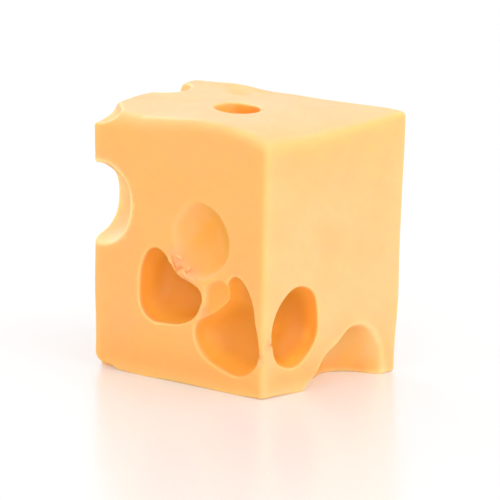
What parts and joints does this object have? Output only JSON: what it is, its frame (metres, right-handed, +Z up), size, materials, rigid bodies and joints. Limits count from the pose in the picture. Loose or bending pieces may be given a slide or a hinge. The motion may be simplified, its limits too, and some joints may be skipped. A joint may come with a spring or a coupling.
{
  "type": "cheese wedge",
  "caption": "Block-shaped wedge of pale yellow cheese with round eyes opened on every side by the cuts.",
  "frame": {"origin": "middle of the foot's bounding box, on the surface that the wedge stands on", "axes": "+Z up; -Y out of the narrow end; +X towards the right cut side seen from the narrow end"},
  "size_m": [0.0818, 0.056, 0.0791],
  "materials": {
    "cheese": "moist, waxy and slightly translucent cut cheese, satin"
  },
  "bodies": {
    "root": {"cheese": "cheese"}
  },
  "joints": []
}
